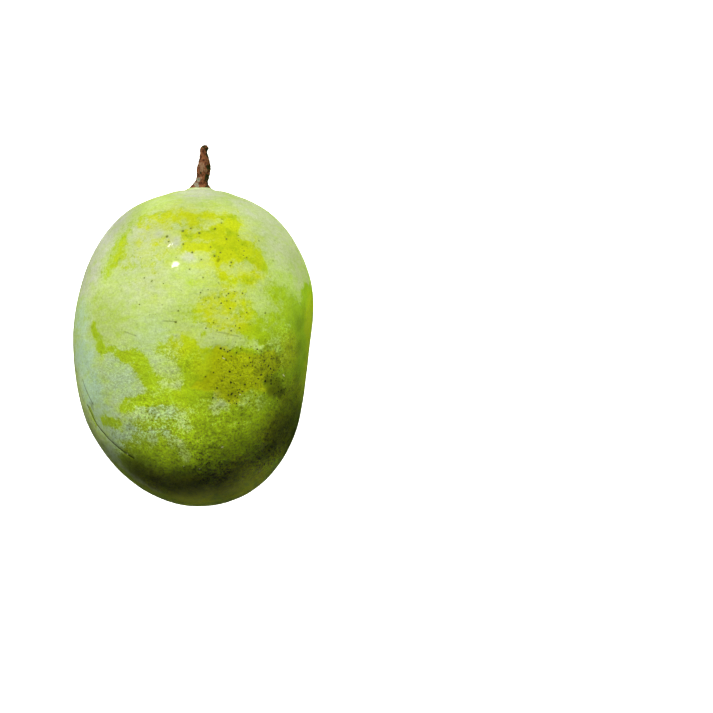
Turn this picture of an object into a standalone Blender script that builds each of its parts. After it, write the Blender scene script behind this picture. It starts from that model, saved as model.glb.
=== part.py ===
"""Langra mango, as picked, lying on one cheek with the stub of its stalk.

Metres, +Z up. The origin is the middle of the small flat spot that the fruit rests on. +Y runs along the
fruit towards the stalk, and +X points to the flank that is hollowed a little above the tip.
"""

import math

import bmesh
import bpy
import numpy as np
from mathutils import Matrix, Vector
from numpy.polynomial import chebyshev

MM = 0.001

# The fruit: its length without the collar, and its reach from the long axis at stations along it. A station
# is an angle from the stalk end, 0, to the tip, 180 degrees. The reach is the half-width of an ellipse drawn
# through the skin there, so equal reaches all along a side make that side one true ellipse.
FRUIT_LENGTH = 100.0 * MM
STATIONS_DEG = (0, 30, 60, 90, 120, 150, 180)
REACH_MM = {
    "full_flank": (54.0, 47.3, 41.6, 40.1, 40.5, 39.9, 40.0),
    "hollow_flank": (52.0, 44.7, 40.1, 35.0, 36.0, 39.2, 43.0),
    "upper_cheek": (49.0, 42.5, 37.4, 34.4, 34.0, 35.0, 37.0),
    "lower_cheek": (49.0, 42.0, 36.6, 33.4, 33.2, 34.5, 37.0),
}
MERIDIANS = 48
RINGS = 48

POLE_RADIUS = 1e-6

# The collar: the skin rises round the stalk to a flat seat, and falls away within a few millimetres.
SEAT_Y = 51.0 * MM
SEAT_RADIUS = 3.6 * MM
COLLAR_FALL = 3.1 * MM
COLLAR_POWER = 1.5

# How the fruit lies: turned about its long axis and across it until its weight is over the flat spot.
REST_ROLL_DEG = -5.3
REST_PITCH_DEG = 5.0
SPOT_DEPTH = 0.5 * MM

# The stalk: height above the seat, how far its middle leans to +X and to +Z, and its half-width.
STALK_GAP = 0.3 * MM
STALK_STATIONS_MM = (
    (0.0, 0.2, 0.0, 3.3),
    (0.6, 0.2, 0.0, 2.75),
    (1.4, 0.4, 0.1, 2.25),
    (2.8, 0.9, 0.2, 2.0),
    (4.4, 1.2, 0.4, 2.1),
    (6.0, 1.4, 0.6, 2.15),
    (7.8, 1.5, 0.9, 1.85),
    (9.6, 1.5, 1.2, 1.4),
    (11.2, 1.4, 1.4, 1.1),
    (12.3, 1.5, 1.5, 1.15),
    (13.1, 1.7, 1.6, 0.7),
)
STALK_SIDES = 16
STALK_FLATNESS = 0.92

# Blender's balls and circles have their poles on Z, and the fruit has them on Y.
POLES_TO_Y = Matrix.Rotation(math.radians(-90), 3, "X")

SKIN_COLOUR = (0.50, 0.62, 0.16)
SKIN_ROUGHNESS = 0.5
BARK_COLOUR = (0.20, 0.09, 0.05)
BARK_ROUGHNESS = 0.85


def clear_scene():
    for thing in list(bpy.data.objects):
        bpy.data.objects.remove(thing)


def plain_material(name, colour, roughness):
    material = bpy.data.materials.new(name)
    material.use_nodes = True
    shader = material.node_tree.nodes["Principled BSDF"]
    shader.inputs["Base Color"].default_value = (*colour, 1.0)
    shader.inputs["Roughness"].default_value = roughness
    shader.inputs["Metallic"].default_value = 0.0
    return material


def side_curve(side):
    """The smooth curve through one side's reaches, as a function of the cosine of the station's angle."""
    cosines = np.cos(np.radians(STATIONS_DEG))
    return chebyshev.chebfit(cosines, REACH_MM[side], len(STATIONS_DEG) - 1)


def skin_point(direction, curves):
    """Where the skin is, in a direction from the fruit's middle. Its four sides meet in one oval."""
    across = "hollow_flank" if direction.x > 0 else "full_flank"
    upright = "upper_cheek" if direction.z > 0 else "lower_cheek"
    radial = math.hypot(direction.x, direction.z)
    if radial < POLE_RADIUS:
        return Vector((0, math.copysign(FRUIT_LENGTH / 2, direction.y), 0))
    wide = chebyshev.chebval(direction.y, curves[across]) * MM
    thick = chebyshev.chebval(direction.y, curves[upright]) * MM
    reach = radial / math.hypot(direction.x / wide, direction.z / thick)
    return Vector((direction.x * reach, direction.y * FRUIT_LENGTH / 2, direction.z * reach))


def raise_collar(point):
    """Lifts the skin round the stalk end to the flat seat."""
    if point.y < 0:
        return point
    radius = math.hypot(point.x, point.z)
    if radius <= SEAT_RADIUS:
        return Vector((point.x, SEAT_Y, point.z))
    lift = SEAT_Y - FRUIT_LENGTH / 2
    fall = ((radius - SEAT_RADIUS) / COLLAR_FALL) ** COLLAR_POWER
    return point + Vector((0, lift * math.exp(-fall), 0))


def resting_turn():
    return Matrix.Rotation(math.radians(REST_PITCH_DEG), 4, "X") @ Matrix.Rotation(
        math.radians(REST_ROLL_DEG), 4, "Y"
    )


def skin_shape():
    """The skin about the fruit's own middle: a unit ball whose points are moved out on to it."""
    curves = {side: side_curve(side) for side in REACH_MM}
    shape = bmesh.new()
    bmesh.ops.create_uvsphere(shape, u_segments=MERIDIANS, v_segments=RINGS, radius=1.0)
    for vert in shape.verts:
        vert.co = raise_collar(skin_point((POLES_TO_Y @ vert.co).normalized(), curves))
    return shape


def lay_down(shape):
    """Turns the fruit to rest, cuts the flat spot, and puts the spot's middle at the origin.

    Returns the whole move as one matrix.
    """
    turn = resting_turn()
    shape.transform(turn)
    lowest = min(vert.co.z for vert in shape.verts)
    drop = Matrix.Translation((0, 0, -lowest - SPOT_DEPTH))
    shape.transform(drop)
    cut = bmesh.ops.bisect_plane(
        shape,
        geom=shape.verts[:] + shape.edges[:] + shape.faces[:],
        plane_co=(0, 0, 0),
        plane_no=(0, 0, 1),
        clear_inner=True,
    )
    rim = [part for part in cut["geom_cut"] if isinstance(part, bmesh.types.BMEdge)]
    spot = bmesh.ops.contextual_create(shape, geom=rim)["faces"][0]
    middle = spot.calc_center_median_weighted()
    centre = Matrix.Translation((-middle.x, -middle.y, 0))
    shape.transform(centre)
    return centre @ drop @ turn


def add_piece(name, shape, material):
    bmesh.ops.recalc_face_normals(shape, faces=shape.faces[:])
    mesh = bpy.data.meshes.new(name)
    shape.to_mesh(mesh)
    shape.free()
    mesh.shade_smooth()
    mesh.materials.append(material)
    piece = bpy.data.objects.new(name, mesh)
    bpy.context.scene.collection.objects.link(piece)
    return piece


def stalk_ring(shape, height, lean, rise, half_width):
    """One oval section of the stalk, square to the fruit's length."""
    middle = Vector((lean * MM, SEAT_Y + STALK_GAP + height * MM, rise * MM))
    ring = bmesh.ops.create_circle(
        shape,
        segments=STALK_SIDES,
        radius=half_width * MM,
        matrix=Matrix.Translation(middle) @ POLES_TO_Y.to_4x4(),
    )["verts"]
    for vert in ring:
        vert.co.z = middle.z + (vert.co.z - middle.z) * STALK_FLATNESS
    return ring


def stalk_shape():
    """The woody stub: sections joined from the flared foot to the broken end, standing on the seat."""
    shape = bmesh.new()
    rings = [stalk_ring(shape, *station) for station in STALK_STATIONS_MM]
    for lower, upper in zip(rings, rings[1:]):
        for index in range(STALK_SIDES):
            after = (index + 1) % STALK_SIDES
            shape.faces.new((lower[index], lower[after], upper[after], upper[index]))
    shape.faces.new(rings[0])
    shape.faces.new(rings[-1])
    return shape


def main():
    clear_scene()
    fruit = skin_shape()
    lies = lay_down(fruit)
    add_piece("fruit", fruit, plain_material("mango_skin", SKIN_COLOUR, SKIN_ROUGHNESS))
    stalk = add_piece("stalk", stalk_shape(), plain_material("stalk_bark", BARK_COLOUR, BARK_ROUGHNESS))
    stalk.matrix_world = lies


main()
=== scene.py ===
"""Langra mango: the finished surface of one picked fruit, grown round its CAD frame.

Lengths are metres, except where a name ends in MM and in the tables of marks. The fruit's own axes have
their middle in the fruit's middle, +Y to the stalk and +Z out of the upper cheek. Marks on the skin are
placed as the camera sees them: x and y are millimetres in the plane through the fruit's middle, square to the
view, and the sizes of marks are millimetres too.
"""

import math
import random

import bmesh
import bpy
import numpy as np
from mathutils import Matrix, Vector, noise
from mathutils.bvhtree import BVHTree


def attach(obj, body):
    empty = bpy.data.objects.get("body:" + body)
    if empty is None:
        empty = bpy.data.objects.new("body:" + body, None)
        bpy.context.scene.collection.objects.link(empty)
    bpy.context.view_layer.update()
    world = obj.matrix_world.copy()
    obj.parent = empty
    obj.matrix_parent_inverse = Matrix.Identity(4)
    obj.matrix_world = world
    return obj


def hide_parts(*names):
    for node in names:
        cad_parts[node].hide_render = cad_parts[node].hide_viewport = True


bl_info = {
    "name": "Langra Mango",
    "version": (1, 0, 0),
    "blender": (4, 5, 0),
    "location": "3D View > Sidebar > Mango",
    "description": "Grows the waxy skin, its specks and the dry stalk of a picked mango, and lights them",
    "category": "Add Mesh",
}

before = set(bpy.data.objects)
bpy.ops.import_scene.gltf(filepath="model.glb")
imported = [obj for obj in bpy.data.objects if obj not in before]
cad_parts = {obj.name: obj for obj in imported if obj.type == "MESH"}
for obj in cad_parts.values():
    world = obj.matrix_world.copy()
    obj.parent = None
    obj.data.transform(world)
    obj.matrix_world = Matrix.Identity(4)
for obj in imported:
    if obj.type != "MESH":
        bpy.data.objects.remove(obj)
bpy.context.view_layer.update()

MM = 0.001
FRUIT_NODE = "fruit"
STALK_NODE = "stalk"
BODY = "root"

# How the fruit lies, and half its length, as in its CAD model.
LIE_PITCH = math.radians(5.0)
LIE_ROLL = math.radians(-5.3)
HALF_LENGTH = 0.050

# The view: its width at the fruit's middle, and how far its own middle is to the right of it and above it.
VIEW_WIDTH = 0.2264
VIEW_MIDDLE = (0.0498, -0.0024)
SENSOR_WIDTH_MM = 36.0


def own_axes():
    """The move from the fruit's own axes to where it lies.

    The tip of the CAD fruit is half a length from the fruit's middle.
    """
    turn = Matrix.Rotation(LIE_PITCH, 4, "X") @ Matrix.Rotation(LIE_ROLL, 4, "Y")
    back = turn.inverted()
    places = [back @ vert.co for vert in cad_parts[FRUIT_NODE].data.vertices]
    tip = min(places, key=lambda place: place.y)
    return Matrix.Translation(turn @ (tip + Vector((0, HALF_LENGTH, 0)))) @ turn


OWN = own_axes()


def linear(code):
    """Linear red, green and blue of an sRGB hex colour."""
    parts = [int(code[place : place + 2], 16) / 255 for place in (1, 3, 5)]
    return tuple(part / 12.92 if part <= 0.04045 else ((part + 0.055) / 1.055) ** 2.4 for part in parts)


# Where the bloom is rubbed away: how hard, how soft the edge is in mm, and a chain of discs, x, y and radius.
RUB_MARKS = (
    # the streak down the left shoulder, and the faint band that leads over to the crown
    (0.8, 3.2, ((-24.4, 35.4, 1.0), (-25.6, 32.1, 2.2), (-26.8, 28.6, 2.6), (-28.3, 26.0, 1.6))),
    (0.7, 1.6, ((-26.2, 31.0, 0.6), (-28.0, 27.0, 1.0), (-30.2, 22.6, 0.7))),
    (0.48, 3.5, ((-23.9, 37.0, 1.2), (-20.9, 40.4, 2.2), (-17.4, 41.0, 2.6), (-11.6, 40.7, 2.8))),
    (0.45, 4.0, ((-25.0, 27.0, 1.6), (-21.5, 25.0, 2.4), (-16.0, 27.0, 2.4))),
    (0.4, 4.0, ((-20.0, 33.0, 2.0), (-13.0, 32.0, 3.0), (-9.0, 27.0, 2.0))),
    # the crown's two yellow bands
    (0.72, 3.2, ((-10.8, 42.6, 1.2), (-6.1, 42.6, 1.8), (-2.2, 41.2, 1.8))),
    (0.72, 3.2, ((1.7, 42.2, 1.0), (5.6, 41.0, 1.4), (10.6, 41.2, 1.6))),
    # the big yellow patch right of the middle, its fingers to the left and its tail to the right
    (1.0, 2.2, ((-4.4, 36.0, 0.8), (-0.7, 36.2, 1.3), (4.0, 36.6, 2.2), (8.7, 37.5, 2.9),
        (11.0, 40.0, 1.8))),
    (1.0, 2.2, ((-3.8, 33.2, 0.8), (0.9, 32.9, 1.6), (5.6, 32.9, 2.3), (10.2, 33.2, 2.8),
        (15.0, 32.0, 2.4))),
    (1.0, 2.2, ((5.6, 28.8, 1.8), (10.2, 29.6, 2.3), (14.9, 30.2, 2.6), (18.2, 28.6, 2.6),
        (20.2, 26.0, 1.6))),
    (0.75, 3.4, ((5.6, 23.6, 1.0), (8.7, 22.0, 1.8), (12.6, 22.4, 1.8), (16.5, 23.6, 1.0))),
    # the yellow cheek below it
    (0.68, 3.5, ((-0.7, 10.6, 2.0), (2.0, 13.2, 2.2), (6.3, 14.4, 3.0), (11.8, 14.0, 2.8),
        (15.7, 11.0, 2.2))),
    (0.62, 3.5, ((4.0, 9.4, 1.8), (9.5, 9.4, 2.2), (14.0, 7.0, 1.8))),
    # the vivid right flank, which turns under at the edge of the view
    (0.8, 4.0, ((24.3, 18.1, 1.4), (27.6, 17.0, 2.0), (29.8, 13.6, 2.2), (28.5, 9.0, 2.0))),
    (0.75, 3.5, ((27.0, 9.0, 2.5), (28.0, 2.0, 3.0))),
    (1.5, 3.0, ((35.0, 13.0, 6.0), (34.5, 8.0, 8.0), (34.0, 0.0, 9.0), (33.0, -8.0, 9.5),
        (31.0, -16.0, 9.5))),
    (1.15, 3.0, ((31.2, 11.0, 3.0), (31.0, 4.0, 4.5), (30.5, -3.0, 4.5), (30.0, -10.0, 5.0))),
    (0.65, 4.5, ((20.0, 8.0, 2.6), (26.0, 6.0, 4.5), (26.0, 0.0, 4.5), (19.0, 3.5, 3.0))),
    # under the stain and the bruise, and out to the right flank
    (0.9, 3.0, ((14.5, 5.8, 1.8), (21.9, 1.8, 3.0), (27.0, -2.0, 3.6), (28.4, -8.0, 4.0),
        (29.0, -15.0, 4.0))),
    (0.8, 3.0, ((3.0, -1.0, 1.5), (10.0, -6.0, 4.0), (18.0, -8.0, 4.0), (10.0, -14.0, 3.0))),
    (1.25, 2.0, ((7.0, -5.0, 4.5), (12.0, -8.0, 7.0), (20.0, -5.0, 5.5), (24.5, -9.5, 4.5))),
    # a scratch above the stain
    (0.85, 0.9, ((0.7, 4.7, 0.4), (4.9, 6.0, 0.4), (10.7, 7.1, 0.4))),
    # the green patch in the middle
    (1.0, 1.8, ((-3.4, 2.2, 1.5), (-3.0, -0.4, 2.4), (-4.6, -3.8, 2.0), (-2.2, -6.9, 3.6))),
    (0.55, 2.6, ((-9.0, 1.4, 1.0), (-6.8, 0.4, 1.6), (-7.2, -4.0, 1.4))),
    (0.5, 2.0, ((-13.6, 1.6, 0.8), (-11.0, -0.4, 1.2))),
    (1.0, 1.8, ((-2.2, -6.9, 3.6), (2.5, -5.6, 4.0), (1.0, -11.0, 4.4))),
    # the band that winds from the left edge down to the middle
    (1.0, 1.2, ((-33.3, 6.6, 0.7), (-32.5, 4.0, 1.4), (-31.7, 1.3, 1.8), (-30.9, -0.6, 1.0))),
    (0.8, 1.4, ((-30.7, -0.4, 0.8), (-27.5, 0.3, 1.0), (-26.6, -1.2, 1.0))),
    (1.0, 1.4, ((-26.6, -1.2, 0.8), (-24.0, -2.6, 1.2), (-20.4, -2.4, 1.9), (-18.6, -5.0, 2.0),
        (-16.8, -7.8, 1.6))),
    (1.0, 1.8, ((-16.8, -7.6, 1.9), (-15.1, -10.8, 2.5), (-11.6, -12.9, 2.9), (-7.7, -13.6, 3.5),
        (0.0, -13.4, 4.0))),
    # brush strokes and blotches low on the left
    (1.0, 1.2, ((-24.4, -18.7, 1.4), (-20.5, -17.4, 1.3), (-15.5, -16.4, 1.5), (-10.8, -15.8, 2.4))),
    (0.9, 1.4, ((-30.3, -22.8, 1.0), (-28.3, -23.3, 1.6), (-26.0, -24.5, 1.6))),
    (0.9, 0.9, ((-9.4, -22.8, 0.5), (-7.6, -22.6, 0.7), (-6.1, -23.1, 0.4))),
    (0.9, 0.9, ((-12.7, -26.6, 0.5), (-12.9, -30.0, 0.7))),
    (0.85, 1.2, ((-34.9, -19.4, 0.5), (-34.2, -21.4, 0.8), (-33.2, -23.4, 0.5))),
    # the mottled lower half, barest towards the tip
    (0.75, 5.0, ((-22.0, -30.0, 2.5), (-14.0, -25.0, 4.0), (-6.0, -24.0, 4.0))),
    (1.3, 5.0, ((-18.0, -34.5, 3.0), (-9.0, -32.0, 5.0), (2.0, -30.0, 6.0))),
    (1.1, 6.0, ((2.0, -24.0, 5.0), (12.0, -23.0, 6.0), (21.0, -19.0, 7.0), (28.0, -18.0, 7.0))),
    (1.7, 7.0, ((-18.0, -42.0, 7.0), (-4.0, -44.0, 10.0), (10.0, -40.0, 12.0), (22.0, -32.0, 12.0))),
    (1.7, 5.0, ((15.0, -43.0, 6.0), (26.0, -34.0, 8.0), (32.0, -24.0, 9.0), (33.0, -14.0, 6.0))),
    (0.95, 2.0, ((-7.0, -16.6, 1.2), (0.0, -17.0, 2.2))),
)

# Where a trace of bloom is left inside the bare part.
KEPT_MARKS = (
    (0.7, 1.6, ((8.0, 25.6, 0.6), (13.0, 26.0, 0.9), (16.5, 25.6, 0.5))),
    (0.5, 1.2, ((-1.5, 34.6, 0.2), (3.0, 34.8, 0.5), (6.0, 35.0, 0.2))),
    (0.8, 1.4, ((6.4, -16.4, 0.5), (7.4, -18.2, 1.0), (5.0, -19.4, 0.6))),
    (0.5, 2.0, ((14.0, -17.0, 1.0), (17.5, -15.6, 1.5), (19.0, -18.0, 1.0))),
    (0.6, 1.4, ((-9.6, -5.0, 1.0), (-8.6, -9.0, 1.2), (-6.6, -12.6, 0.6))),
    (0.75, 1.2, ((-20.8, -21.0, 0.7), (-17.0, -20.4, 1.0), (-13.5, -20.8, 1.1))),
    (0.5, 1.6, ((-9.0, -20.4, 1.3), (-5.5, -21.6, 1.4), (-4.2, -24.6, 0.8))),
    (0.8, 1.5, ((-23.4, -22.6, 1.0), (-22.6, -25.0, 1.3), (-23.4, -28.0, 1.5))),
    (0.6, 1.5, ((-14.8, -27.2, 0.8), (-14.6, -30.6, 0.8))),
    (0.65, 1.6, ((-9.6, -27.6, 1.2), (-5.8, -31.0, 1.6), (-4.4, -33.8, 1.2))),
    (0.5, 1.8, ((-12.0, -11.6, 0.8), (-7.0, -11.8, 1.0))),
    (0.6, 1.6, ((3.0, 2.6, 1.2), (11.0, 1.8, 1.4), (17.0, 2.0, 1.0))),
    (0.5, 1.6, ((17.6, -5.6, 0.4), (20.0, 0.6, 0.9), (24.0, 1.6, 1.0))),
    (0.95, 2.4, ((-32.0, -28.5, 1.0), (-27.5, -34.5, 1.4), (-21.0, -40.6, 1.0), (-13.0, -45.2, 0.8))),
)

# Cooler, bluer and thicker bloom towards the left edge, as discs of x, y, radius and strength.
THICK_BLOOM = (
    (-38.0, 9.0, 7.0, 0.8),
    (-37.0, -3.0, 8.0, 0.95),
    (-34.5, -13.0, 8.0, 1.0),
    (-25.0, -9.0, 9.0, 0.6),
    (-31.0, -21.0, 7.0, 0.75),
    (-26.0, -29.0, 6.0, 0.7),
    (-15.0, 2.0, 8.0, 0.35),
    (-13.0, -22.0, 8.0, 0.55),
    (-21.0, -27.0, 6.0, 0.7),
    (-28.0, -33.0, 5.0, 0.5),
)

# Warmer, drier bloom on both shoulders.
DRY_BLOOM = (
    (-30.0, 36.0, 12.0, 1.0),
    (-35.0, 24.0, 9.0, 0.9),
    (28.0, 34.0, 13.0, 1.0),
    (33.0, 24.0, 8.0, 0.9),
    (18.0, 44.0, 9.0, 0.8),
    (0.0, 50.0, 8.0, 0.9),
    (-18.0, 37.0, 8.0, 0.6),
    (-13.4, 36.3, 2.0, 0.9),
    (-8.4, 34.3, 2.4, 0.9),
    (-3.4, 29.8, 2.2, 0.8),
    (-20.0, 24.0, 10.0, 0.5),
)

# Where the skin itself turns from green to yellow.
RIPE_SKIN = (
    (6.0, 34.0, 14.0, 1.0),
    (14.0, 28.0, 9.0, 0.9),
    (-6.0, 42.0, 8.0, 0.9),
    (-14.0, 36.0, 10.0, 0.8),
    (-12.0, 24.0, 9.0, 0.5),
    (8.0, 13.0, 9.0, 0.9),
    (-4.0, 2.0, 6.0, 0.4),
    (3.0, -6.0, 6.0, 0.5),
    (-24.0, 30.0, 7.0, 0.45),
    (35.4, 10.0, 7.0, 1.2),
    (35.2, 2.0, 8.0, 1.1),
    (34.0, -7.0, 7.0, 0.9),
    (29.0, -1.0, 6.0, 0.7),
    (30.0, -16.0, 8.0, 0.8),
    (26.0, -28.0, 9.0, 1.0),
    (14.0, -42.0, 10.0, 1.2),
    (-2.0, -46.0, 9.0, 1.2),
    (-16.0, -42.0, 7.0, 0.8),
)

# The outline of the stained patch on the right of the middle, as points x and y.
STAIN_OUTLINE = (
    (5.0, 0.4), (7.0, 0.7), (10.2, -0.7), (13.6, -1.7), (19.0, -1.4), (23.4, -1.0), (26.2, -2.8),
    (26.8, -5.4), (24.0, -7.6), (20.4, -9.8), (20.6, -12.8), (15.2, -13.8), (11.6, -18.0), (9.4, -18.0),
    (6.7, -15.2), (1.1, -13.3), (-2.2, -12.0), (-0.6, -9.6), (2.7, -7.8), (3.1, -3.4),
)

# Dark smears on the skin: how dark, how soft the edge is in mm, and a chain of discs. The first is a bruise.
SMEARS = (
    (0.75, 1.6, ((21.4, -10.2, 1.4), (24.3, -10.6, 2.2), (22.8, -13.0, 2.0), (26.0, -13.2, 2.0))),
    (0.6, 2.0, ((20.6, -9.6, 0.6), (21.2, -11.6, 0.8), (24.0, -13.8, 0.8), (27.0, -13.0, 0.8))),
    (0.35, 2.2, ((17.5, -2.6, 1.0), (20.5, -3.6, 1.8), (24.2, -4.4, 1.6), (19.0, -7.0, 1.4))),
    (0.5, 0.8, ((12.2, -0.9, 0.3), (18.0, -0.9, 0.4), (22.5, 0.2, 0.4))),
    (0.45, 0.7, ((4.3, 1.7, 0.3), (5.6, 1.0, 0.3))),
    (0.5, 0.8, ((28.2, 1.0, 0.6), (29.2, -0.4, 0.5))),
    (0.5, 1.0, ((8.8, -14.4, 0.6), (12.6, -14.2, 0.7))),
    (0.4, 0.9, ((8.2, -16.6, 0.5), (11.2, -17.6, 0.5))),
    (0.6, 0.8, ((-35.9, -13.4, 0.1), (-34.6, -16.6, 0.5), (-33.3, -19.8, 0.5))),
    (0.55, 0.6, ((4.9, 7.7, 0.2), (7.2, 7.4, 0.3), (9.7, 7.2, 0.2))),
    (0.4, 0.8, ((8.6, 3.2, 0.2), (11.4, 2.6, 0.3), (14.4, 1.6, 0.2))),
    (0.35, 1.0, ((-31.2, -30.2, 0.4), (-29.0, -33.0, 0.6))),
    (0.45, 0.7, ((-7.4, 13.8, 0.3),)),
    (0.45, 0.7, ((-6.8, 11.2, 0.3),)),
    (0.5, 0.7, ((-33.6, 6.8, 0.3), (-35.0, 6.4, 0.1))),
    (0.7, 0.8, ((5.4, 28.3, 0.7),)),
)

# Skin painted paler or deeper than the rest, as discs of x, y, radius and share. Much of it is painted
# light and shade: the deep discs towards the tip and along the lower right paint the dark band of shade
# there, and the others lighten or darken the skin where the lights give too little or too much.
TONES_AND_PAINTED_SHADE = (
    (-8.0, 42.0, 10.0, -0.2),
    (0.0, 48.0, 12.0, -0.12),
    (1.0, 36.0, 7.0, -0.1),
    (10.0, 42.0, 14.0, -0.1),
    (13.0, 30.0, 9.0, -0.1),
    (-16.0, 32.0, 12.0, -0.15),
    (-26.0, 33.0, 10.0, -0.12),
    (-34.0, 26.0, 8.0, -0.1),
    (25.0, 34.0, 10.0, -0.17),
    (32.0, 26.0, 7.0, -0.2),
    (-23.0, 42.0, 8.0, -0.26),
    (13.0, 23.0, 5.0, 0.08),
    (16.0, -6.0, 9.0, 0.22),
    (-30.0, 10.0, 9.0, -0.12),
    (-36.5, -13.0, 6.0, 0.2),
    (-8.0, -6.0, 8.0, 0.16),
    (2.0, 5.0, 6.0, 0.12),
    (22.0, -0.5, 7.0, 0.1),
    (18.0, 7.0, 11.0, 0.28),
    (27.5, 7.0, 4.0, 0.28),
    (31.8, 8.0, 2.4, -0.25),
    (31.4, 0.0, 2.4, -0.25),
    (30.8, -7.0, 2.8, -0.15),
    (21.0, -15.0, 6.0, 0.2),
    (-22.0, -23.5, 8.0, 0.24),
    (-10.0, -19.0, 8.0, 0.32),
    (0.0, -23.0, 8.0, 0.35),
    (13.0, -21.0, 7.0, 0.42),
    (24.0, -24.5, 5.0, -0.3),
    (8.0, -27.0, 4.0, 0.16),
    (9.0, -37.0, 4.0, 0.22),
    (13.0, -14.0, 4.0, -0.14),
    (-17.5, -20.0, 5.0, 0.18),
    (-7.0, -32.0, 9.0, 0.4),
    (1.0, -37.0, 5.0, 0.15),
    (13.0, -37.0, 6.0, 0.2),
    (-12.0, -43.5, 5.0, -0.35),
    (25.0, -34.0, 5.0, 0.6),
    (32.5, -22.0, 9.0, -0.4),
    (30.5, -28.0, 8.0, -0.3),
    (29.0, -17.0, 7.0, -0.3),
    (28.0, -27.0, 9.0, -0.5),
    (-19.0, -38.5, 7.0, -0.6),
    (-31.5, -26.0, 5.0, 0.2),
    (-5.0, -42.0, 7.0, -0.56),
    (7.0, -40.0, 7.0, -0.34),
    (-1.0, -49.0, 7.0, 0.35),
    (17.0, -42.0, 8.0, 0.62),
)

# Where pores show most, as discs of x, y, radius and strength.
PORED_SKIN = (
    (8.0, 12.0, 10.0, 1.0),
    (13.0, -7.0, 12.0, 1.0),
    (24.0, -3.0, 9.0, 0.9),
    (8.0, 34.0, 10.0, 0.6),
    (-8.0, 12.0, 9.0, 0.6),
    (-14.0, 24.0, 9.0, 0.45),
    (-12.0, -32.0, 18.0, 0.8),
    (10.0, -32.0, 20.0, 0.9),
    (27.0, -16.0, 14.0, 0.8),
)
PORES_ELSEWHERE = 0.35

# Where the skin is coarse and mottled, as discs of x, y, radius and strength.
COARSE_SKIN = (
    (-12.0, -30.0, 18.0, 0.9),
    (8.0, -28.0, 18.0, 0.9),
    (2.0, -32.0, 8.0, 1.25),
    (27.0, -18.0, 12.0, 1.0),
    (4.0, -38.0, 8.0, 1.5),
    (-14.0, -41.0, 8.0, 0.9),
    (24.0, -30.0, 12.0, 1.2),
    (13.0, -9.0, 10.0, 0.75),
    (22.0, -5.0, 7.0, 1.3),
    (-24.0, -10.0, 14.0, 0.45),
    (-8.0, -6.0, 9.0, 0.55),
    (27.0, -1.0, 8.0, 0.8),
)
COARSE_ELSEWHERE = 0.16

# Hairline cracks low on the left, then scratches: how dark, and points x, y.
CRACKS = (
    (1.0, ((-35.7, -18.0), (-34.5, -20.6), (-32.9, -23.8), (-30.9, -26.4), (-29.1, -28.6), (-26.4, -31.0),
           (-22.9, -33.6), (-21.2, -34.6))),
    (0.6, ((-37.1, -10.0), (-35.9, -13.6), (-34.0, -17.4))),
    (0.5, ((-37.8, -13.5), (-37.0, -16.4))),
    (0.3, ((5.5, 5.4), (9.1, 4.8))),
    (0.3, ((10.2, 4.4), (12.3, 4.0))),
    (0.4, ((-11.4, 8.9), (-8.1, 8.7))),
    (0.3, ((-23.6, 5.4), (-20.4, 4.2))),
    (0.3, ((-17.2, -26.2), (-13.0, -25.4), (-9.4, -26.0))),
)

# Sooty specks as x, y and radius: first those on the crown and the middle, then those in the stain.
CROWN_SPECKS = (
    (-10.4, 35.7, 0.52), (-9.8, 34.1, 0.33), (-5.3, 37.5, 0.52), (-2.8, 38.3, 0.33), (-0.1, 36.8, 0.46),
    (4.9, 38.2, 0.40), (6.9, 40.0, 0.33), (-5.2, 33.3, 0.33), (-2.4, 30.7, 0.36), (0.5, 28.4, 0.28),
    (4.7, 29.5, 0.36), (6.6, 30.6, 0.33), (8.5, 34.9, 0.38), (3.5, 32.4, 0.26), (10.0, 27.5, 0.33),
    (14.9, 29.0, 0.24), (-3.2, 25.3, 0.24), (0.3, 17.9, 0.24), (1.1, 22.6, 0.28), (13.6, 17.7, 0.26),
    (8.5, 17.0, 0.20), (-17.6, 22.6, 0.26), (-15.1, 21.6, 0.22), (-7.6, 8.6, 0.40), (-6.8, 12.1, 0.30),
    (20.8, 11.4, 0.28), (15.0, 11.6, 0.24), (18.8, 34.3, 0.22), (23.3, 28.0, 0.20),
)
STAIN_SPECKS = (
    (6.7, 0.2, 0.42), (7.8, -0.2, 0.28), (8.9, -0.9, 0.33), (9.6, -0.5, 0.26), (11.7, -1.2, 0.28),
    (7.3, -2.3, 0.28), (8.4, -3.5, 0.30), (15.9, -2.8, 0.33), (16.2, -4.3, 0.28), (15.2, -5.3, 0.26),
    (16.8, -5.4, 0.26), (22.7, -3.1, 0.36), (21.9, -5.3, 0.28), (22.5, -6.2, 0.38), (9.6, -7.2, 0.36),
    (4.4, -7.5, 0.26), (1.9, -8.8, 0.28), (13.0, -8.4, 0.23), (7.1, -10.1, 0.33), (9.9, -10.7, 0.40),
    (14.4, -11.3, 0.33), (17.8, -11.0, 0.28), (19.7, -8.2, 0.30), (20.8, -10.3, 0.48), (22.7, -11.0, 0.42),
    (5.5, -12.4, 0.33), (25.9, -13.2, 0.42), (26.8, -12.8, 0.28), (25.0, -13.5, 0.28), (10.1, -14.4, 0.38),
    (11.3, -14.9, 0.33), (12.4, -13.8, 0.33), (13.5, -13.5, 0.28), (9.3, -16.5, 0.33), (11.7, -17.3, 0.28),
    (17.8, -14.7, 0.23), (15.9, -16.7, 0.23), (4.2, -15.5, 0.28), (24.7, -16.4, 0.20), (12.4, -23.6, 0.24),
)

# Places peppered with small specks: x, y, reach, how many, and how sooty.
PEPPERED = (
    (21.5, -5.0, 5.0, 34, 0.9),
    (12.0, -6.0, 7.0, 14, 0.8),
    (12.0, -14.8, 3.0, 16, 0.9),
    (24.0, -11.5, 3.6, 20, 1.0),
    (8.0, 12.0, 7.0, 14, 0.3),
    (9.0, 34.0, 9.0, 8, 0.2),
    (-12.0, 20.0, 10.0, 8, 0.1),
)
PEPPER_RADII_MM = (0.14, 0.34)

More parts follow.
